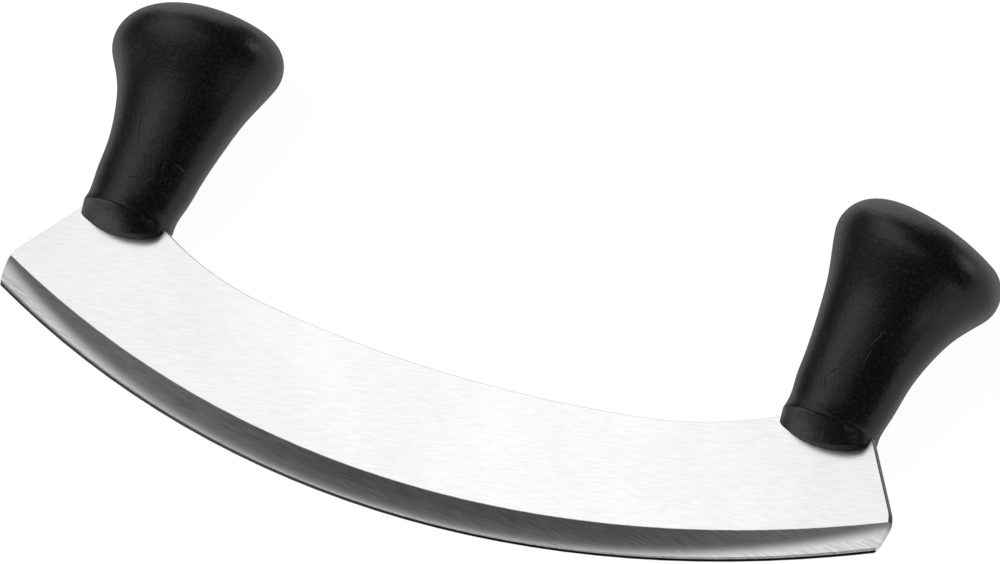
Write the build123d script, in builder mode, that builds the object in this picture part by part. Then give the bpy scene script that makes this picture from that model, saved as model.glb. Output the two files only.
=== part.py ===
from build123d import *
import os
from math import asin, atan2, cos, degrees, radians, sin, sqrt

os.makedirs("parts", exist_ok=True)

# A mezzaluna: one crescent blade, with a flared knob handle moulded around the tang at each end.
# The pieces are drawn upright, with X along the blade, Z up from the lowest point of the cutting
# edge to the handles, and the front of the blade towards -Y. The last section lays the part down.

# Blade, in millimetres and degrees
blade_length = 240.0  # across the widest points of the two ends
blade_thickness = 1.6
edge_radius = 327.7  # the curve of the cutting edge
bevel_line_radius = 335.0  # the curve where the ground bevel runs out into the flat
bevel_height = 7.25  # from the edge to that curve, in the middle
honed_width = 0.7  # the steeper band along the edge
honed_thickness = 0.6  # of the blade where that band starts
edge_thickness = 0.1
spine_height = 32.2  # in the middle
spine_radius = 440.0
shoulder_start = 52.0  # from the middle to where the spine starts to rise to the handle
shoulder_radius = 112.0
end_slope = 40.7  # of the straight part of each end, from upright
end_radius = 6.2  # the round from the straight part to the widest point
end_rise = 4.7  # from the curve of the cutting edge up to the widest point
tip_radius = 17.0  # the flatter round from the widest point to the tip

# Tang, hidden in the handle
tang_width = 13.0
tang_rise = 30.0  # above the handle's seat
tang_corner_radius = 3.0
tang_root_radius = 1.5  # where it leaves the blade
lock_diameter = 5.0  # of the holes that the plastic flows through
lock_spacing = 11.0
lock_rise = 15.0  # of the middle of the two holes, above the seat

# Handle
handle_inset = 24.3  # from the blade's widest point to the middle of the neck
neck_width = 22.5
neck_depth = 16.7
rim_width = 42.2  # across the head's rim before it is rounded
rim_depth = 31.2
handle_height = 47.9  # along the middle line, from the seat to the top of the crown
bend_start = 12.4  # above the seat, where the middle line starts to curve outwards
bend_radius = 147.5
crown_radius = 48.0
crown_tilt = 10.2  # the crown's lean outwards
rim_radius = 7.4
crease_height = 0.7  # of the crease round the neck, above the seat
crease_radius = 1.5
lip_width = 22.4  # of the foot's lower end, below the crease
lip_depth = 8.0
foot_width = 22.7  # of the curve along which the lip closes on the blade
foot_dip = 4.35  # how far that curve reaches down, below the seat
mould_clearance = 0.05  # between the plastic and the steel

overrun = 6.0  # how far cutting shapes reach past what they cut
touch_tolerance = 0.02  # of the facets that find where the part touches the table

# The handle's sections along its middle line: place as a share of its height, and swell as a share
# of the difference between the neck and the rim.
section_shares = (
    (0.15, 0.03),
    (0.26, 0.08),
    (0.37, 0.16),
    (0.475, 0.28),
    (0.58, 0.44),
    (0.69, 0.70),
    (0.80, 0.95),
    (0.92, 1.10),
    (1.04, 1.18),
)

half_length = blade_length / 2
handle_centre = half_length - handle_inset
half_thickness = blade_thickness / 2
neck_half = neck_width / 2
rim_half = rim_width / 2


def circles_meet(centre_a, radius_a, centre_b, radius_b):
    """The meeting point of two circles that lies to the right of the way from a to b."""
    apart = centre_b - centre_a
    along = (apart.length**2 + radius_a**2 - radius_b**2) / (2 * apart.length)
    aside = sqrt(radius_a**2 - along**2)
    way = apart.normalized()
    return centre_a + way * along + Vector(way.Y, -way.X) * aside


# The spine is nearly flat in the middle and rises in a tighter arc to each handle, whose seat is the
# height at which it meets the neck.
flat_turn = asin(shoulder_start / spine_radius)
flat_rise = spine_radius * (1 - cos(flat_turn))


def rise_turn(x):
    """How far the rising arc has turned from level at x, in radians."""
    return asin((x - shoulder_start) / shoulder_radius + sin(flat_turn))


neck_turn = rise_turn(handle_centre - neck_half)
seat = spine_height + flat_rise + shoulder_radius * (cos(flat_turn) - cos(neck_turn))

# Outline of the blade and its tangs
tang_in = handle_centre - tang_width / 2
tang_out = handle_centre + tang_width / 2
tang_top = seat + tang_rise
end_way = Vector(sin(radians(end_slope)), -cos(radians(end_slope)))
end_height = edge_radius - sqrt(edge_radius**2 - half_length**2) + end_rise
end_centre = Vector(half_length - end_radius, end_height)
end_bottom = end_centre + Vector(-end_way.Y, end_way.X) * end_radius
end_top = end_bottom - end_way * ((end_bottom.X - tang_out) / end_way.X)
tip_centre = Vector(half_length - tip_radius, end_height)
tip = circles_meet(tip_centre, tip_radius, Vector(0, edge_radius), edge_radius)
tip_turn = asin((end_height - tip.Y) / tip_radius)
edge_turn = asin(tip.X / edge_radius)

with BuildSketch(Plane.XZ) as outline:
    with BuildLine():
        spine = JernArc((0, spine_height), (1, 0), spine_radius, degrees(flat_turn))
        rise = JernArc(
            spine @ 1, spine % 1, shoulder_radius, degrees(rise_turn(tang_in) - flat_turn)
        )
        Polyline(rise @ 1, (tang_in, tang_top), (tang_out, tang_top), end_top, end_bottom)
        end = JernArc(end_bottom, end_way, end_radius, -end_slope)
        JernArc(end @ 1, end % 1, tip_radius, -degrees(tip_turn))
        JernArc((0, 0), (1, 0), edge_radius, degrees(edge_turn))
        mirror(about=Plane.YZ)
    make_face()
    corners = outline.vertices().group_by(Axis.Y)
    fillet(corners[-1], tang_corner_radius)
    fillet(corners[-2] + corners[-3], tang_root_radius)
    with Locations((-handle_centre, seat + lock_rise), (handle_centre, seat + lock_rise)):
        with GridLocations(0, lock_spacing, 1, 2):
            Circle(lock_diameter / 2, mode=Mode.SUBTRACT)

# The ground bevel and the honed band are shallow cones on both faces, each about the centre of its
# own curve: (height of the centre, radius, half thickness left at that radius, slope).
honed_half = honed_thickness / 2
edge_half = edge_thickness / 2
bevel_centre = bevel_height + bevel_line_radius
bevel_slope = (half_thickness - honed_half) / (bevel_height - honed_width)
honed_slope = (honed_half - edge_half) / honed_width
grinds = (
    (bevel_centre, bevel_line_radius, half_thickness, bevel_slope),
    (edge_radius, edge_radius, edge_half, honed_slope),
)
grind_reach = bevel_height + overrun
grind_turn = asin((half_length + overrun) / edge_radius)

with BuildPart() as upright_blade:
    extrude(outline.sketch, amount=half_thickness, both=True)
    for centre, radius, half, slope in grinds:
        low = -radius - grind_reach
        high = -radius + grind_reach
        clear = half_thickness + slope * grind_reach + overrun
        first_way = (cos(grind_turn), 0, sin(grind_turn))
        with BuildSketch(Plane(origin=(0, 0, centre), x_dir=(0, 1, 0), z_dir=first_way)):
            with BuildLine():
                Polyline(
                    (half - slope * grind_reach, low),
                    (half + slope * grind_reach, high),
                    (clear, high),
                    (clear, low),
                    close=True,
                )
            make_face()
            mirror(about=Plane.YZ)
        axle = Axis((0, 0, centre), (0, 1, 0))
        revolve(axis=axle, revolution_arc=2 * degrees(grind_turn), mode=Mode.SUBTRACT)


def across(height):
    """The plane across the handle's middle line, this far along it from the seat."""
    turn = max(height - bend_start, 0) / bend_radius
    out = bend_radius * (1 - cos(turn))
    up = min(height, bend_start) + bend_radius * sin(turn)
    return Plane(
        origin=(handle_centre + out, 0, seat + up),
        x_dir=(cos(turn), 0, -sin(turn)),
        z_dir=(sin(turn), 0, cos(turn)),
    )


# All that lies below the curve along which the lip closes on the blade
with BuildSketch(Plane.XZ) as below_foot:
    with Locations((handle_centre, seat)):
        Rectangle(rim_width, handle_height, align=(Align.CENTER, Align.MAX))
        Ellipse(foot_width / 2, foot_dip, mode=Mode.SUBTRACT)

with BuildPart() as socket:
    with BuildSketch(Plane.XZ):
        add(outline.sketch)
        offset(amount=mould_clearance, kind=Kind.INTERSECTION)
    extrude(amount=half_thickness + mould_clearance, both=True)

crown_lean = radians(crown_tilt)
crown_top = across(handle_height).origin
crown_centre = crown_top - Vector(sin(crown_lean), 0, cos(crown_lean)) * crown_radius

# From the crease the handle swells up to the crown, and the foot tapers down to its lip. The sphere
# that shapes the crown is turned so that its poles lie off it.
with BuildPart() as upright_handle:
    with BuildSketch(across(crease_height)):
        Ellipse(neck_half, neck_depth / 2)
    for height_share, swell_share in section_shares:
        with BuildSketch(across(handle_height * height_share)):
            Ellipse(
                neck_half + (rim_half - neck_half) * swell_share,
                (neck_depth + (rim_depth - neck_depth) * swell_share) / 2,
            )
    loft()
    with Locations(Location(crown_centre)):
        Sphere(crown_radius, rotation=(90, 0, 0), mode=Mode.INTERSECT)
    rim = upright_handle.edges().filter_by(lambda edge: edge.is_closed).sort_by(Axis.Z)[-1]
    fillet(rim, rim_radius)
    with BuildSketch(across(crease_height)):
        Ellipse(neck_half, neck_depth / 2)
    with BuildSketch(across(-foot_dip)):
        Ellipse(lip_width / 2, lip_depth / 2)
    loft()
    crease = upright_handle.edges().filter_by(lambda edge: edge.is_closed).sort_by(Axis.Z)[1]
    fillet(crease, crease_radius)
    extrude(below_foot.sketch, amount=rim_depth, both=True, mode=Mode.SUBTRACT)
    add(socket.part, mode=Mode.SUBTRACT)

# Laid down on its back, the part touches the table with the middle of the honed band and with the
# two heads.
back_points, _ = upright_handle.part.tessellate(touch_tolerance)
rest_tilt = max(
    degrees(atan2(point.Y - honed_half, point.Z - honed_width)) for point in back_points
)
lie_back = Location((0, 0, 0), (rest_tilt - 90, 0, 0))
laid = Compound([upright_blade.part.moved(lie_back), upright_handle.part.moved(lie_back)])
box = laid.bounding_box()
rest = Location((0, -box.center().Y, -box.min.Z)) * lie_back

with BuildPart() as blade:
    add(upright_blade.part.moved(rest))
blade.part.label = "blade"
export_step(blade.part, "parts/blade.step")

with BuildPart() as right_handle:
    add(upright_handle.part.moved(rest))
right_handle.part.label = "right_handle"
export_step(right_handle.part, "parts/right_handle.step")

with BuildPart() as left_handle:
    mirror(right_handle.part, about=Plane.YZ)
left_handle.part.label = "left_handle"
export_step(left_handle.part, "parts/left_handle.step")
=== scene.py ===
"""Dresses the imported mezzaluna: steel and plastic finishes, a pale floor, lamps and a camera."""

from math import atan2, cos, exp, pi, radians, sin

import bmesh
import bpy
from mathutils import Matrix, Vector


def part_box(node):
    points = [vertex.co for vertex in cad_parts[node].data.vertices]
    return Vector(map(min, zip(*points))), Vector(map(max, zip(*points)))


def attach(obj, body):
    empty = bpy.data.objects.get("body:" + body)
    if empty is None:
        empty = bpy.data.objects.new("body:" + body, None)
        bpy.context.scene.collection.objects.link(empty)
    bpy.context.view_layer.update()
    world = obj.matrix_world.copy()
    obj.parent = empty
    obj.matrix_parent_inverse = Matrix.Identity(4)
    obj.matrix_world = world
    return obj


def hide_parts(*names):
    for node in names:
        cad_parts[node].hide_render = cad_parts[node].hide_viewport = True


bl_info = {
    "name": "Mezzaluna dressing",
    "version": (1, 0, 0),
    "blender": (4, 5, 0),
    "location": "3D View > Sidebar > Mezzaluna",
    "description": "Finishes for a crescent herb chopper and the small studio it is shown in",
    "category": "Material",
}

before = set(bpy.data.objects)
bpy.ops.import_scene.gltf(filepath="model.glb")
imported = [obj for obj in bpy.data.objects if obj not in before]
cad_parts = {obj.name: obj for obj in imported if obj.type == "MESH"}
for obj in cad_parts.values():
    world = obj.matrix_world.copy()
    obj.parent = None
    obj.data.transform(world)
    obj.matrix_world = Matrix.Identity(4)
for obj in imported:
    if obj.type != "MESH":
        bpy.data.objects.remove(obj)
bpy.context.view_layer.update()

PANEL_TAB = "Mezzaluna"
BODY = "root"
MILLIMETRE = 0.001
MERGE_DISTANCE = 0.001 * MILLIMETRE  # of corners that are one, in a CAD node's loose triangles

# The part lies on its back with the middle of its cutting edge leading in -Y.
blade_low, blade_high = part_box("blade")


def upright(blade):
    """The turn and the shift that stand the part up: X along the blade, Y up from the middle of its
    edge, and Z out of its front face."""
    turn = Matrix.Rotation(-blade.rest_tilt, 3, "X")
    return turn, -(turn @ Vector((0.0, blade_low.y, blade.edge_lift)))


class BladeSettings(bpy.types.PropertyGroup):
    """Sizes and colours of the steel."""

    rest_tilt: bpy.props.FloatProperty(
        name="Rest tilt",
        description="How far the blade leans up from the table as the part lies on its back",
        default=radians(10.351),
        subtype="ANGLE",
    )
    edge_lift: bpy.props.FloatProperty(
        name="Edge lift",
        description="Height of the cutting edge above the table",
        default=0.00017,
        unit="LENGTH",
        precision=5,
    )
    bevel_radius: bpy.props.FloatProperty(
        name="Bevel line radius",
        description="Radius of the curve where the ground bevel meets the flat",
        default=0.335,
        unit="LENGTH",
        precision=4,
    )
    bevel_height: bpy.props.FloatProperty(
        name="Bevel height",
        description="Height of the ground bevel in the middle of the blade",
        default=0.00725,
        unit="LENGTH",
        precision=5,
    )
    edge_radius: bpy.props.FloatProperty(
        name="Edge radius",
        description="Radius of the cutting edge",
        default=0.3277,
        unit="LENGTH",
        precision=4,
    )
    honed_width: bpy.props.FloatProperty(
        name="Honed width",
        description="Width of the honed band along the cutting edge",
        default=0.0007,
        unit="LENGTH",
        precision=5,
    )
    thickness: bpy.props.FloatProperty(
        name="Thickness",
        description="Thickness of the sheet",
        default=0.0016,
        unit="LENGTH",
        precision=5,
    )
    deburr_radius: bpy.props.FloatProperty(
        name="Deburr radius",
        description="Roundness of the edges between the flats and the cut faces",
        default=0.0003,
        unit="LENGTH",
        precision=5,
    )
    brushing_depth: bpy.props.FloatProperty(
        name="Brushing depth",
        description="Depth of the lines left by the brush and the grinding wheel",
        default=0.000012,
        unit="LENGTH",
        precision=6,
    )
    roughness: bpy.props.FloatProperty(
        name="Roughness",
        description="Roughness of the steel before its lines add to it",
        default=0.27,
        min=0.0,
        max=1.0,
        subtype="FACTOR",
    )
    flat_colour: bpy.props.FloatVectorProperty(
        name="Flat colour",
        description="Colour of the brushed flats",
        default=(0.87, 0.87, 0.873),
        subtype="COLOR",
        min=0.0,
        max=1.0,
    )
    dull_colour: bpy.props.FloatVectorProperty(
        name="Dull colour",
        description="Colour of the duller lines in the brushed flats",
        default=(0.62, 0.621, 0.625),
        subtype="COLOR",
        min=0.0,
        max=1.0,
    )
    # Painted shade: the top of the ground bevel is painted dark in the middle of the blade.
    bevel_painted_shade_middle: bpy.props.FloatVectorProperty(
        name="Bevel colour in the middle",
        description="Colour of the top of the ground bevel, in the middle of the blade",
        default=(0.085, 0.085, 0.087),
        subtype="COLOR",
        min=0.0,
        max=1.0,
    )
    # Painted shade: the top of the ground bevel is painted a lighter grey towards the ends.
    bevel_painted_shade_ends: bpy.props.FloatVectorProperty(
        name="Bevel colour at the ends",
        description="Colour of the top of the ground bevel, towards the two ends",
        default=(0.17, 0.17, 0.174),
        subtype="COLOR",
        min=0.0,
        max=1.0,
    )
    ground_bright: bpy.props.FloatVectorProperty(
        name="Bevel colour at its foot",
        description="Colour of the ground steel next to the honed band",
        default=(0.78, 0.78, 0.784),
        subtype="COLOR",
        min=0.0,
        max=1.0,
    )
    # Painted shade: the honed band is painted dark grey at its left end.
    honed_painted_shade_left: bpy.props.FloatVectorProperty(
        name="Honed colour on the left",
        description="Colour of the left end of the honed band",
        default=(0.13, 0.13, 0.135),
        subtype="COLOR",
        min=0.0,
        max=1.0,
    )
    # Painted shade: the honed band is painted near black from the middle to its right end.
    honed_painted_shade_right: bpy.props.FloatVectorProperty(
        name="Honed colour on the right",
        description="Colour of the honed band from the middle of the blade to its right end",
        default=(0.016, 0.016, 0.0165),
        subtype="COLOR",
        min=0.0,
        max=1.0,
    )
    spine_colour: bpy.props.FloatVectorProperty(
        name="Spine colour",
        description="Colour of the cut face along the spine",
        default=(0.42, 0.42, 0.425),
        subtype="COLOR",
        min=0.0,
        max=1.0,
    )
    # Painted shade: the broken edges along the spine are painted dark.
    broken_edge_painted_shade: bpy.props.FloatVectorProperty(
        name="Deburred edge colour",
        description="Colour of the broken edges along both sides of the spine",
        default=(0.12, 0.12, 0.122),
        subtype="COLOR",
        min=0.0,
        max=1.0,
    )
    # Painted shade: the cut faces at the two ends are painted near black.
    end_painted_shade: bpy.props.FloatVectorProperty(
        name="End colour",
        description="Colour of the cut faces at the two ends",
        default=(0.009, 0.009, 0.0095),
        subtype="COLOR",
        min=0.0,
        max=1.0,
    )


class HandleSettings(bpy.types.PropertyGroup):
    """Colours and texture of the plastic."""

    colour: bpy.props.FloatVectorProperty(
        name="Plastic colour",
        description="Colour of the moulded handles",
        default=(0.002, 0.002, 0.0021),
        subtype="COLOR",
        min=0.0,
        max=1.0,
    )
    grain_colour: bpy.props.FloatVectorProperty(
        name="Grain colour",
        description="Colour of the lighter specks in the fine grain",
        default=(0.024, 0.024, 0.0247),
        subtype="COLOR",
        min=0.0,
        max=1.0,
    )
    roughness: bpy.props.FloatProperty(
        name="Roughness",
        description="Roughness of the plastic before its clouds and its rim vary it",
        default=0.33,
        min=0.0,
        max=1.0,
        subtype="FACTOR",
    )
    specular_level: bpy.props.FloatProperty(
        name="Specular level",
        description="Strength of the plastic's reflection, where 0.5 is usual",
        default=0.32,
        min=0.0,
        max=1.0,
        subtype="FACTOR",
    )
    grain: bpy.props.FloatProperty(
        name="Grain size",
        description="Size of the fine grain left by the mould",
        default=0.0006,
        unit="LENGTH",
        precision=5,
    )
    grain_depth: bpy.props.FloatProperty(
        name="Grain depth",
        description="Depth of the fine grain",
        default=0.00005,
        unit="LENGTH",
        precision=6,
    )
    ridge_height: bpy.props.FloatProperty(
        name="Ridge height",
        description="Height of the soft ridge round the top of the foot, above the cutting edge",
        default=0.0449,
        unit="LENGTH",
        precision=4,
    )
    ridge_swell: bpy.props.FloatProperty(
        name="Ridge swell",
        description="How far the ridge stands proud",
        default=0.0003,
        unit="LENGTH",
        precision=5,
    )
    ridge_spread: bpy.props.FloatProperty(
        name="Ridge spread",
        description="Length over which the ridge dies out up the neck",
        default=0.0024,
        unit="LENGTH",
        precision=4,
    )
    crease_width: bpy.props.FloatProperty(
        name="Crease width",
        description="Width of the hairline creases in the skin of the plastic",
        default=0.0004,
        unit="LENGTH",
        precision=5,
    )
    crease_depth: bpy.props.FloatProperty(
        name="Crease depth",
        description="Depth of those creases",
        default=0.00005,
        unit="LENGTH",
        precision=6,
    )


class StageSettings(bpy.types.PropertyGroup):
    """The floor, the lamps and the camera."""

    floor_colour: bpy.props.FloatVectorProperty(
        name="Floor colour",
        description="Colour of the floor",
        default=(0.93, 0.93, 0.93),
        subtype="COLOR",
        min=0.0,
        max=1.0,
    )
    dust_colour: bpy.props.FloatVectorProperty(
        name="Dust colour",
        description="Colour that the floor's faint clouds turn to",
        default=(0.9, 0.9, 0.9),
        subtype="COLOR",
        min=0.0,
        max=1.0,
    )
    floor_whiteness: bpy.props.FloatProperty(
        name="Floor whiteness",
        description="How far the floor is lifted to plain white where it is seen",
        default=0.86,
        min=0.0,
        max=1.0,
        subtype="FACTOR",
    )
    floor_size: bpy.props.FloatProperty(
        name="Floor size",
        description="Length of each side of the floor",
        default=8.0,
        unit="LENGTH",
    )
    world_level: bpy.props.FloatProperty(
        name="World level",
        description="Brightness of the room round the stage",
        default=0.06,
        min=0.0,
    )
    camera_azimuth: bpy.props.FloatProperty(
        name="Camera azimuth",
        description="0 looks along +Y and 90 looks along -X",
        default=radians(60.756),
        subtype="ANGLE",
    )
    camera_elevation: bpy.props.FloatProperty(
        name="Camera elevation",
        description="Height of the camera above the horizon, seen from the part",
        default=radians(45.595),
        subtype="ANGLE",
    )
    camera_roll: bpy.props.FloatProperty(
        name="Camera roll",
        description="Turn of the camera about its own line of sight",
        default=radians(-35.425),
        subtype="ANGLE",
    )
    camera_distance: bpy.props.FloatProperty(
        name="Camera distance",
        description="From the camera to the point it looks at",
        default=2.4623,
        unit="LENGTH",
    )
    camera_target: bpy.props.FloatVectorProperty(
        name="Camera target",
        description="The point in the middle of the picture",
        default=(0.002607, 0.007555, 0.009937),
        subtype="XYZ",
        unit="LENGTH",
        precision=5,
    )
    lens: bpy.props.FloatProperty(
        name="Focal length",
        description="Focal length of the camera in millimetres",
        default=428.59,
    )
    sensor_width: bpy.props.FloatProperty(
        name="Sensor width",
        description="Width of the camera's sensor in millimetres",
        default=36.0,
    )


NOISE_MEAN = 0.5  # of a noise that runs from 0 to 1


class Shade:
    """A socket of a finish, with the arithmetic that the recipes need."""

    def __init__(self, finish, socket):
        self.finish = finish
        self.socket = socket

    def __add__(self, other):
        return self.finish.maths("ADD", self, other)

    __radd__ = __add__

    def __mul__(self, other):
        return self.finish.maths("MULTIPLY", self, other)

    __rmul__ = __mul__

    def __sub__(self, other):
        return self.finish.maths("SUBTRACT", self, other)

    def __rsub__(self, other):
        return self.finish.maths("SUBTRACT", other, self)

    def __truediv__(self, other):
        return self.finish.maths("DIVIDE", self, other)

    def __pow__(self, other):
        return self.finish.maths("POWER", self, other)

    def __abs__(self):
        return self.finish.maths("ABSOLUTE", self)


class Finish:
    """A material in the making. Its methods add nodes, and most return one output as a Shade."""

    def __init__(self, name):
        self.material = bpy.data.materials.new(name)
        self.material.use_nodes = True
        self.tree = self.material.node_tree
        self.tree.nodes.clear()

    def node(self, kind, settings, sockets, output=0):
        """A node of any kind. Its settings are set first, then its sockets' values or links."""
        made = self.tree.nodes.new(kind)
        for key, value in settings.items():
            setattr(made, key, value)
        for key, value in sockets.items():
            if isinstance(value, Shade):
                self.tree.links.new(value.socket, made.inputs[key])
            else:
                made.inputs[key].default_value = value
        return Shade(self, made.outputs[output] if len(made.outputs) else None)

    def maths(self, operation, *values):
        """A calculation on one or two values."""
        settings = {"operation": operation}
        return self.node("ShaderNodeMath", settings, dict(enumerate(values)))

    def smooth(self, value, low, high):
        """0 below low, 1 above high and a soft step between."""
        settings = {"interpolation_type": "SMOOTHSTEP"}
        return self.node(
            "ShaderNodeMapRange", settings, {"Value": value, "From Min": low, "From Max": high}
        )

    def blend(self, factor, colour_a, colour_b, kind="MIX"):
        """From one colour to the other as the factor goes from 0 to 1."""
        settings = {"data_type": "RGBA", "blend_type": kind}
        return self.node("ShaderNodeMix", settings, {0: factor, 6: colour_a, 7: colour_b}, 2)

    def place(self, location=(0, 0, 0), rotation=(0, 0, 0)):
        """Object coordinates, turned and then moved."""
        here = self.node("ShaderNodeTexCoord", {}, {}, "Object")
        return self.node(
            "ShaderNodeMapping", {}, {"Vector": here, "Location": location, "Rotation": rotation}
        )

    def weave(self, vector, periods, turn=0.0, centre=(0, 0, 0)):
        """Coordinates that count periods along and across a line, turned from X by an angle."""
        sockets = {
            "Vector": vector,
            "Location": centre,
            "Rotation": (0, 0, turn),
            "Scale": (*periods, 1.0),
        }
        return self.node("ShaderNodeMapping", {"vector_type": "TEXTURE"}, sockets)

    def stretch(self, vector, scale):
        """A vector times a number."""
        return self.node(
            "ShaderNodeVectorMath", {"operation": "SCALE"}, {"Vector": vector, "Scale": scale}
        )

    def noise(self, vector, detail=2.0, roughness=0.5):
        """Noise about NOISE_MEAN, with one period to each unit of the vector."""
        sockets = {"Vector": vector, "Scale": 1.0, "Detail": detail, "Roughness": roughness}
        return self.node("ShaderNodeTexNoise", {}, sockets)

    def outputs(self, kind, sockets):
        """All the outputs of one node."""
        made = self.node(kind, {}, sockets).socket.node
        return [Shade(self, output) for output in made.outputs]

    def bump(self, height, depth):
        """Normals for a relief that is this deep where its height goes from 0 to 1."""
        return self.node("ShaderNodeBump", {}, {"Height": height, "Distance": depth})

    def close(self, sockets):
        """Puts the surface shader and the output in place."""
        surface = self.node("ShaderNodeBsdfPrincipled", {}, sockets)
        self.node("ShaderNodeOutputMaterial", {}, {"Surface": surface})
        return self.material


def solid(colour):
    """A colour with full alpha, as colour sockets take it."""
    return (*colour, 1.0)


def upright_place(finish, blade):
    """Object coordinates, stood up as the function upright stands the part up."""
    shift = upright(blade)[1]
    return finish.place(shift, (-blade.rest_tilt, 0, 0))


WHITE = (1.0, 1.0, 1.0)
HALF_GREY = (0.5, 0.5, 0.5)

# Marks on the steel: their length and width in metres, and their turn from the blade's length
BRUSH_MARKS = ((0.005, 0.0005), radians(7))
WHEEL_MARKS = ((0.007, 0.0004), radians(-7))
STEEL_CLOUDS = ((0.05, 0.02), radians(-30))

# Stretches over which the painted shade on the steel changes, in metres to the right of the middle
# of the blade
FLAT_PAINTED_SHADE = (0.045, 0.115)
HONED_PAINTED_SHADE = (-0.04, 0.03)
BEVEL_PAINTED_SHADE_DARKEST = 0.025
BEVEL_PAINTED_SHADE_GREYS = (0.03, 0.11)  # to both sides of its darkest place

# Shares of the sheet's thickness, from its middle: where its cut faces end and the flats start, and
# where the spine turns into its broken edge
FACE_SHARES = (0.49, 0.497)
BROKEN_SHARES = (0.45, 0.465)
END_FACE_SHARES = (0.86, 0.9)  # of half the blade's length, where the spine ends and the ends start


def flat_steel(finish, sizes, own, along, brushing):
    """The brushed flat: brighter and duller lines, soft clouds, and painted shade that darkens its
    right end.
    """
    mean_shine = 0.6  # where 0 is the dull colour and 1 the flat's own
    brushing_contrast = 1.3
    cloud_contrast = 0.6
    right_painted_shade = 0.38
    clouds = finish.noise(finish.weave(own, *STEEL_CLOUDS))
    shine = mean_shine + (brushing - NOISE_MEAN) * brushing_contrast
    shine = shine + (clouds - NOISE_MEAN) * cloud_contrast
    # Painted shade: the flat turns towards the dull colour at its right end.
    shine = shine - right_painted_shade * finish.smooth(along, *FLAT_PAINTED_SHADE)
    return finish.blend(shine, solid(sizes.dull_colour), solid(sizes.flat_colour))


def ground_steel_and_painted_shade(finish, sizes, along, across, above_edge, streaks):
    """The ground bevel, with painted shade. Its top is painted dark next to the flat, darkest near
    the middle of the blade. Its bright foot, the steel's own colour, is narrow in the middle of the
    blade and spreads over the whole bevel at the two ends."""
    foot_start = 0.93  # as a share of the bevel's width from the flat, in the middle of the blade
    foot_spread = 0.7  # how much of that share it gains at the ends
    foot_fade = (-0.3, 0.18)  # about that place
    foot_waver = 0.45  # how far the grinding lines move it
    foot_power = 1.5
    wash = 0.07  # the share of the bright foot colour, against the painted shade, that goes to the whole lower bevel
    wash_fade = (0.3, 0.75)
    lip_fade = (0.0006, 0.0009)  # metres above the edge, where the painted white highlight along the lip of the bevel ends
    mark_level = 0.32  # of the streaks, above which they darken the bevel
    mark_contrast = 2.6

    reach = abs(along) / blade_high.x
    foot = foot_start - foot_spread * reach**3
    foot = foot - (streaks - NOISE_MEAN) * foot_waver
    share = finish.smooth(across - foot, *foot_fade) ** foot_power
    share = share * (1 - wash) + wash * finish.smooth(across, *wash_fade)
    # Painted shade: the top of the bevel is painted dark, darkest near the middle of the blade and
    # greyer towards the ends, and it turns to its bright foot.
    grey = finish.smooth(abs(along - BEVEL_PAINTED_SHADE_DARKEST), *BEVEL_PAINTED_SHADE_GREYS)
    top = finish.blend(grey, solid(sizes.bevel_painted_shade_middle), solid(sizes.bevel_painted_shade_ends))
    ground = finish.blend(share, top, solid(sizes.ground_bright))
    # Painted highlight: a white lip just above the honed band.
    painted_lip_highlight = 1.0 - finish.smooth(above_edge, *lip_fade)
    ground = finish.blend(painted_lip_highlight, ground, solid(WHITE))
    marks = (streaks - mark_level) * mark_contrast
    return finish.blend(marks, ground, solid(HALF_GREY), "MULTIPLY")


def cut_steel_and_painted_shade(finish, sizes, along, depth):
    """The cut faces: the spine with its two broken edges painted dark as shade, and the ends of the
    blade painted near black as shade.
    """
    # Painted shade: the broken edges are painted dark, and the ends near black.
    broken = finish.smooth(abs(depth), *(sizes.thickness * share for share in BROKEN_SHARES))
    spine = finish.blend(broken, solid(sizes.spine_colour), solid(sizes.broken_edge_painted_shade))
    ends = finish.smooth(abs(along) / blade_high.x, *END_FACE_SHARES)
    return finish.blend(ends, spine, solid(sizes.end_painted_shade))


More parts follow.
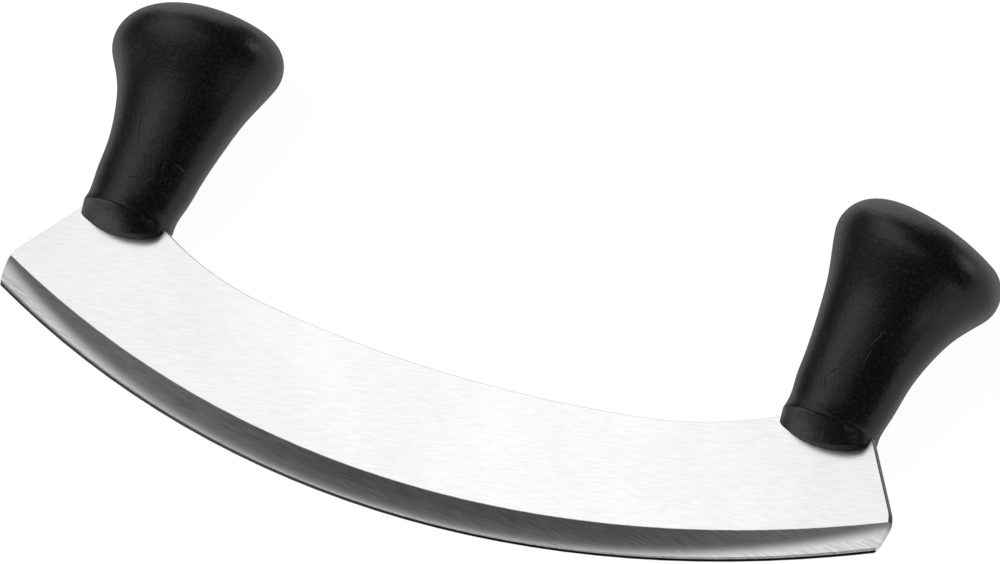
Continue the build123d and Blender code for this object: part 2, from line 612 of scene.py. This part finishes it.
def steel_finish(sizes):
    """Brushed flats, a ground bevel with straight grinding lines and painted shade, a painted
    highlight along its lip, and a honed edge painted dark as shade.
    """
    # In metres
    line_waver = 0.0003  # how far the grinding lines cross the line between bevel and flat
    line_fade = 0.00025
    honed_inset = 0.0001  # the honed band's painted shade stops this far below the top of the band
    honed_narrowing = 0.00012  # and this much lower on the right
    honed_fade = 0.00004

    brushing_roughness = 0.08
    ground_roughness = 0.06
    brushing_relief = 0.5  # as a share of the grinding lines' depth

    finish = Finish("brushed_blade_steel")
    own = upright_place(finish, sizes)
    along, height, depth = finish.outputs("ShaderNodeSeparateXYZ", {"Vector": own})
    brushing = finish.noise(finish.weave(own, *BRUSH_MARKS), detail=5.0, roughness=0.68)
    streaks = finish.noise(finish.weave(own, *WHEEL_MARKS), detail=5.0, roughness=0.7)

    def radius(centre):
        """The distance from a centre on the middle line of the blade."""
        down = height - centre
        return (along * along + down * down) ** 0.5

    below_line = radius(sizes.bevel_height + sizes.bevel_radius) - sizes.bevel_radius
    above_edge = sizes.edge_radius - radius(sizes.edge_radius)
    right = finish.smooth(along, *HONED_PAINTED_SHADE)
    honed_line = sizes.honed_width - honed_inset - right * honed_narrowing

    waver = (streaks - NOISE_MEAN) * line_waver
    line_mask = finish.smooth(below_line + waver, 0.0, line_fade)
    honed_mask = 1.0 - finish.smooth(above_edge - honed_line, -honed_fade, honed_fade)
    face = finish.smooth(abs(depth), *(sizes.thickness * share for share in FACE_SHARES))
    cut_mask = (1.0 - face) * (1.0 - line_mask)

    across = below_line / sizes.bevel_height
    colour = finish.blend(
        line_mask,
        flat_steel(finish, sizes, own, along, brushing),
        ground_steel_and_painted_shade(finish, sizes, along, across, above_edge, streaks),
    )
    # Painted shade: the honed band is painted dark, grey on the left and near black from about the
    # middle to the right.
    honed = finish.blend(right, solid(sizes.honed_painted_shade_left), solid(sizes.honed_painted_shade_right))
    colour = finish.blend(honed_mask, colour, honed)
    colour = finish.blend(cut_mask, colour, cut_steel_and_painted_shade(finish, sizes, along, depth))

    roughness = sizes.roughness + brushing_roughness * brushing + ground_roughness * line_mask
    relief = brushing * (1.0 - line_mask) * brushing_relief + streaks * line_mask
    return finish.close(
        {
            "Base Color": colour,
            "Metallic": 1.0,
            "Roughness": roughness,
            "Normal": finish.bump(relief, sizes.brushing_depth),
        }
    )


# Hairline creases in the skin of the two handles, in millimetres: where each runs from and to,
# along the blade and up from the middle of its edge.
CREASES = (
    (-92.4, 57.3, -90.7, 54.7),
    (-90.7, 54.7, -90.3, 52.0),
    (-90.2, 51.9, -93.5, 51.1),
    (-91.7, 60.8, -91.1, 57.8),
    (-91.1, 57.8, -89.6, 55.2),
    (-89.6, 55.2, -88.0, 51.6),
    (-89.7, 61.5, -87.9, 58.0),
    (-97.9, 66.7, -96.9, 64.7),
    (-96.9, 64.7, -94.5, 58.0),
    (-99.3, 64.5, -97.7, 61.9),
    (-97.7, 61.4, -96.8, 58.0),
    (-86.4, 57.8, -84.2, 57.0),
    (-87.7, 57.2, -87.8, 54.9),
    (-86.4, 54.4, -86.5, 52.5),
    (-87.1, 53.7, -87.3, 51.7),
    (-89.9, 51.1, -88.6, 53.1),
    (-90.2, 49.1, -88.1, 50.1),
    (95.9, 52.4, 100.3, 58.9),
    (97.0, 55.2, 98.9, 59.5),
    (101.5, 60.4, 104.2, 65.8),
    (101.9, 57.4, 102.6, 61.2),
    (95.6, 52.4, 96.5, 50.2),
    (91.8, 55.2, 93.7, 56.0),
)


# The plastic's patterns and its creased necks, in metres. The heights are above the cutting edge.
SKIN_PERIOD = 0.0016
PLASTIC_CLOUDS = 0.012
CRACK_PERIOD = 0.0025
CREASED_FROM = (0.048, 0.05)
CREASED_TO = (0.058, 0.068)
FRONT_FADE = (0.0, 0.002)  # the depth over which the hairline creases start, towards the front


def hairline_creases(finish, sizes, own, depth):
    """1 along each of the hairline creases, on the front of the handles alone."""
    reach_share = 0.62  # of a crease's length, to both sides of its middle
    crease_fade = 0.6
    creases = 0.0
    for x_from, z_from, x_to, z_to in CREASES:
        run = Vector((x_to - x_from, z_to - z_from)) * MILLIMETRE
        middle = Vector((x_from + x_to, z_from + z_to)) * MILLIMETRE / 2
        periods = (run.length * reach_share, sizes.crease_width / 2)
        centre = (middle.x, middle.y, 0.0)
        spot = finish.weave(own, periods, atan2(run.y, run.x), centre)
        far = finish.node("ShaderNodeVectorMath", {"operation": "LENGTH"}, {0: spot}, "Value")
        creases = creases + finish.smooth(1.0 - far, 0.0, crease_fade)
    return creases * finish.smooth(depth, *FRONT_FADE)


def neck_cracks(finish, own, height, clouds):
    """Faint cracks between the scales of the skin, in patches low on the necks."""
    crack_width = 0.06  # as a share of the scales' size
    patches = (0.52, 0.6)  # levels of the clouds between which the cracks fade in
    edges = finish.node(
        "ShaderNodeTexVoronoi",
        {"feature": "DISTANCE_TO_EDGE"},
        {"Vector": finish.stretch(own, 1 / CRACK_PERIOD), "Scale": 1.0},
        "Distance",
    )
    neck = finish.smooth(height, *CREASED_FROM) * (1.0 - finish.smooth(height, *CREASED_TO))
    cracks = 1.0 - finish.smooth(edges, 0.0, crack_width)
    return cracks * finish.smooth(clouds, *patches) * neck


def plastic_finish(sizes, blade):
    """Satin black moulded plastic with a fine grain, and creased skin on the necks."""
    crack_share = 0.3  # of the hairline creases' depth
    cloud_share = 0.2  # of the plastic's colour that follows its clouds, and the rest its grain
    specks = (0.45, 0.68)  # levels of the grain between which it turns light
    cloud_roughness = 0.08
    rim_roughness = 0.35

    finish = Finish("satin_handle_plastic")
    own = upright_place(finish, blade)
    height, depth = finish.outputs("ShaderNodeSeparateXYZ", {"Vector": own})[1:]
    grain = finish.noise(finish.stretch(own, 1 / sizes.grain), detail=3.0, roughness=0.6)
    skin = finish.noise(finish.stretch(own, 1 / SKIN_PERIOD))
    clouds = finish.noise(finish.stretch(own, 1 / PLASTIC_CLOUDS))

    lightness = clouds * cloud_share + finish.smooth(grain, *specks) * (1 - cloud_share)
    rim = finish.node("ShaderNodeLayerWeight", {}, {"Blend": 0.5}, "Facing")
    roughness = sizes.roughness + cloud_roughness * (clouds - NOISE_MEAN)
    roughness = roughness + rim_roughness * rim**3
    cracks = neck_cracks(finish, own, height, clouds) * crack_share
    creases = hairline_creases(finish, sizes, own, depth) + cracks
    relief = grain + skin - creases * (sizes.crease_depth / sizes.grain_depth)
    return finish.close(
        {
            "Base Color": finish.blend(lightness, solid(sizes.colour), solid(sizes.grain_colour)),
            "Roughness": roughness,
            "Specular IOR Level": sizes.specular_level,
            "Normal": finish.bump(relief, sizes.grain_depth),
        }
    )


def stand_in(node, piece, shaping, sharp_angle):
    """A smooth-shaded copy of a CAD node that stands for it. Its shaping adds the finer forms, and
    returns the faces that it rounded, between which the shading stays smooth."""
    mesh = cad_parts[node].data.copy()
    mesh.name = piece
    shape = bmesh.new()
    shape.from_mesh(mesh)
    bmesh.ops.remove_doubles(shape, verts=shape.verts, dist=MERGE_DISTANCE)
    rounded = shaping(shape)
    for face in shape.faces:
        face.smooth = True
    for edge in shape.edges:
        if len(edge.link_faces) == 2 and edge.calc_face_angle(0.0) > sharp_angle:
            edge.smooth = all(face in rounded for face in edge.link_faces)
    shape.to_mesh(mesh)
    shape.free()
    copy = bpy.data.objects.new(piece, mesh)
    bpy.context.scene.collection.objects.link(copy)
    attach(copy, BODY)
    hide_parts(node)
    return copy


def deburr(shape, blade):
    """Breaks the edges between the flats and the cut faces round them, as tumbling does."""
    flat_tolerance = 0.01 * MILLIMETRE
    inside_turn = radians(0.05)  # an edge inside a flat turns less than this
    border_turn = radians(60)  # and one that is cut turns more than this
    turn, shift = upright(blade)
    flat_depth = blade.thickness / 2 - flat_tolerance

    def on_flat(vert):
        return abs((turn @ vert.co + shift).z) > flat_depth

    inside = []
    border = []
    for edge in shape.edges:
        if len(edge.link_faces) == 2 and all(on_flat(vert) for vert in edge.verts):
            angle = edge.calc_face_angle(0.0)
            if angle < inside_turn:
                inside.append(edge)
            elif angle > border_turn:
                border.append(edge)
    bmesh.ops.dissolve_edges(shape, edges=inside, use_verts=False)
    made = bmesh.ops.bevel(
        shape,
        geom=[edge for edge in border if edge.is_valid],
        offset=blade.deburr_radius,
        offset_type="OFFSET",
        segments=2,
        profile=0.5,
        affect="EDGES",
        clamp_overlap=True,
        material=-1,
    )
    return set(made["faces"])


# Heights of the rings that are cut round each neck to carry its ridge, in millimetres from the
# ridge's own height
RIDGE_RINGS = (-2.4, -1.6, -1.0, -0.5, 0.0, 0.5, 1.0, 1.6, 2.4, 3.4, 4.6, 6.0)


def swell_foot(shape, sizes, blade):
    """Draws the front of the neck out to a soft ridge round the top of the foot."""
    cut_tolerance = 0.0001 * MILLIMETRE
    lower_share = 0.55  # of the ridge's spread, on its lower side
    died_out = 4  # spreads from the ridge
    least_out = 0.5  # how far a normal has to point away from the middle of the neck
    # The ridge is full where the neck faces straight ahead, and gone from 44 degrees aside.
    front_gain = 3.6
    front_loss = 2.6
    turn, shift = upright(blade)
    up = turn.inverted() @ Vector((0, 1, 0))
    ahead = turn.inverted() @ Vector((0, 0, 1))
    ridge = turn.inverted() @ (Vector((0, sizes.ridge_height, 0)) - shift)
    for rise in RIDGE_RINGS:
        cut = ridge + up * (rise * MILLIMETRE)
        geom = list(shape.verts) + list(shape.edges) + list(shape.faces)
        bmesh.ops.bisect_plane(shape, geom=geom, dist=cut_tolerance, plane_co=cut, plane_no=up)
    shape.normal_update()
    moves = []
    for vert in shape.verts:
        rise = (vert.co - ridge).dot(up)
        reach = sizes.ridge_spread if rise > 0 else sizes.ridge_spread * lower_share
        out = vert.normal - vert.normal.dot(up) * up
        if abs(rise) < died_out * reach and out.length > least_out:
            out.normalize()
            front = min(max(front_gain * out.dot(ahead) - front_loss, 0), 1)
            front = front * front * (3 - 2 * front)
            swell = sizes.ridge_swell * front * exp(-((rise / reach) ** 2))
            moves.append((vert, out * swell))
    for vert, move in moves:
        vert.co += move
    return set()


def dress(piece, material):
    """Gives a piece its one material."""
    piece.data.materials.clear()
    piece.data.materials.append(material)


class DressBlade(bpy.types.Operator):
    """Gives the blade its brushed, ground and honed steel, with painted shade and a painted
    highlight
    """

    bl_idname = "mezzaluna.dress_blade"
    bl_label = "Dress the blade"

    def execute(self, context):
        sizes = context.scene.mezzaluna_blade
        sharp_angle = radians(3)
        crescent = stand_in(
            "blade", "steel_crescent", lambda shape: deburr(shape, sizes), sharp_angle
        )
        dress(crescent, steel_finish(sizes))
        return {"FINISHED"}


class DressHandles(bpy.types.Operator):
    """Gives both handles their satin black plastic"""

    bl_idname = "mezzaluna.dress_handles"
    bl_label = "Dress the handles"

    def execute(self, context):
        sizes = context.scene.mezzaluna_handles
        blade = context.scene.mezzaluna_blade
        sharp_angle = radians(35)
        plastic = plastic_finish(sizes, blade)
        for side in ("left", "right"):
            piece = stand_in(
                f"{side}_handle",
                f"{side}_knob",
                lambda shape: swell_foot(shape, sizes, blade),
                sharp_angle,
            )
            dress(piece, plastic)
        return {"FINISHED"}


def floor_finish(sizes):
    """Pale and matt. Where it is seen, it is lifted towards white, and its shadows stay."""
    dust_share = 0.02
    white_strength = 1.12  # makes up for the share of the matt floor that stays
    finish = Finish("pale_floor")
    dust = finish.noise(finish.place()) * dust_share
    colour = finish.blend(dust, solid(sizes.floor_colour), solid(sizes.dust_colour))
    matt = finish.node("ShaderNodeBsdfPrincipled", {}, {"Base Color": colour, "Roughness": 0.9})
    white = finish.node(
        "ShaderNodeEmission", {}, {"Color": solid(WHITE), "Strength": white_strength}
    )
    rays = finish.node("ShaderNodeLightPath", {}, {}, "Is Camera Ray").socket.node
    seen = 0.0
    for ray in ("Is Camera Ray", "Is Glossy Ray", "Is Transmission Ray"):
        seen = Shade(finish, rays.outputs[ray]) + seen
    seen = finish.maths("MINIMUM", seen, 1.0) * sizes.floor_whiteness
    surface = finish.node("ShaderNodeMixShader", {}, {0: seen, 1: matt, 2: white})
    finish.node("ShaderNodeOutputMaterial", {}, {"Surface": surface})
    return finish.material


# Soft boxes round the part: name, place, size in metres and brightness, where 1 is white
LAMPS = (
    ("overhead", (-0.84, 0.08, 1.38), (1.4, 1.05), 1.4),
    ("top", (0.0, -0.30, 1.62), (0.6, 0.6), 0.9),
    ("front_left", (-0.52, -0.55, 1.40), (0.6, 0.5), 0.7),
    ("back_panel", (-0.85, 1.47, 0.62), (1.7, 1.1), 1.6),
    ("low_left", (-1.20, -1.12, 0.45), (0.7, 0.4), 4.6),
    ("low_right", (1.18, 1.18, 0.30), (0.8, 0.45), 3.3),
    ("low_front", (1.22, -1.05, 0.42), (0.8, 0.45), 1.6),
)


def add_lamp(name, place, size, level):
    """A rectangular soft lamp that faces the part."""
    width, length = size
    data = bpy.data.lights.new(name, "AREA")
    data.shape = "RECTANGLE"
    data.size = width
    data.size_y = length
    data.energy = level * pi * width * length
    lamp = bpy.data.objects.new(name, data)
    lamp.location = place
    lamp.rotation_mode = "QUATERNION"
    lamp.rotation_quaternion = (-Vector(place)).to_track_quat("-Z", "Y")
    bpy.context.scene.collection.objects.link(lamp)


def add_camera(sizes):
    """The camera, looking at its target from its azimuth, elevation and distance."""
    data = bpy.data.cameras.new("camera")
    data.lens = sizes.lens
    data.sensor_width = sizes.sensor_width
    data.clip_start = 0.1
    data.clip_end = 50.0
    azimuth, elevation = sizes.camera_azimuth, sizes.camera_elevation
    back = Vector(
        (sin(azimuth) * cos(elevation), -cos(azimuth) * cos(elevation), sin(elevation))
    )
    level_right = Vector((cos(azimuth), sin(azimuth), 0))
    level_up = back.cross(level_right)
    roll = sizes.camera_roll
    right = cos(roll) * level_right + sin(roll) * level_up
    up = back.cross(right)
    camera = bpy.data.objects.new("camera", data)
    turn = Matrix((right, up, back)).transposed()
    place = Vector(sizes.camera_target) + back * sizes.camera_distance
    camera.matrix_world = Matrix.Translation(place) @ turn.to_4x4()
    bpy.context.scene.collection.objects.link(camera)
    bpy.context.scene.camera = camera


class SetStage(bpy.types.Operator):
    """Lays the floor and places the lamps, the room light and the camera"""

    bl_idname = "mezzaluna.set_stage"
    bl_label = "Set the stage"

    def execute(self, context):
        sizes = context.scene.mezzaluna_stage
        shape = bmesh.new()
        bmesh.ops.create_grid(shape, x_segments=1, y_segments=1, size=sizes.floor_size / 2)
        mesh = bpy.data.meshes.new("floor")
        shape.to_mesh(mesh)
        shape.free()
        floor = bpy.data.objects.new("floor", mesh)
        context.scene.collection.objects.link(floor)
        mesh.materials.append(floor_finish(sizes))

        world = bpy.data.worlds.new("room")
        world.use_nodes = True
        background = world.node_tree.nodes["Background"]
        background.inputs["Color"].default_value = solid(WHITE)
        background.inputs["Strength"].default_value = sizes.world_level
        context.scene.world = world

        for name, place, size, level in LAMPS:
            add_lamp(name, place, size, level)
        add_camera(sizes)
        context.scene.view_settings.view_transform = "Standard"
        return {"FINISHED"}


class MezzalunaPanel(bpy.types.Panel):
    """Lists the steps and their sizes"""

    bl_idname = "VIEW3D_PT_mezzaluna"
    bl_label = "Mezzaluna"
    bl_space_type = "VIEW_3D"
    bl_region_type = "UI"
    bl_category = PANEL_TAB

    def draw(self, context):
        for operator, settings in STEPS:
            box = self.layout.box()
            box.operator(operator.bl_idname)
            group = getattr(context.scene, settings)
            for name in type(group).__annotations__:
                box.prop(group, name)


STEPS = (
    (DressBlade, "mezzaluna_blade"),
    (DressHandles, "mezzaluna_handles"),
    (SetStage, "mezzaluna_stage"),
)
GROUPS = {
    "mezzaluna_blade": BladeSettings,
    "mezzaluna_handles": HandleSettings,
    "mezzaluna_stage": StageSettings,
}
CLASSES = (*GROUPS.values(), DressBlade, DressHandles, SetStage, MezzalunaPanel)


def register():
    for one in CLASSES:
        bpy.utils.register_class(one)
    for name, group in GROUPS.items():
        setattr(bpy.types.Scene, name, bpy.props.PointerProperty(type=group))


def unregister():
    for name in GROUPS:
        delattr(bpy.types.Scene, name)
    for one in reversed(CLASSES):
        bpy.utils.unregister_class(one)


def main():
    register()
    bpy.ops.mezzaluna.dress_blade()
    bpy.ops.mezzaluna.dress_handles()
    bpy.ops.mezzaluna.set_stage()


if __name__ == "__main__":
    main()
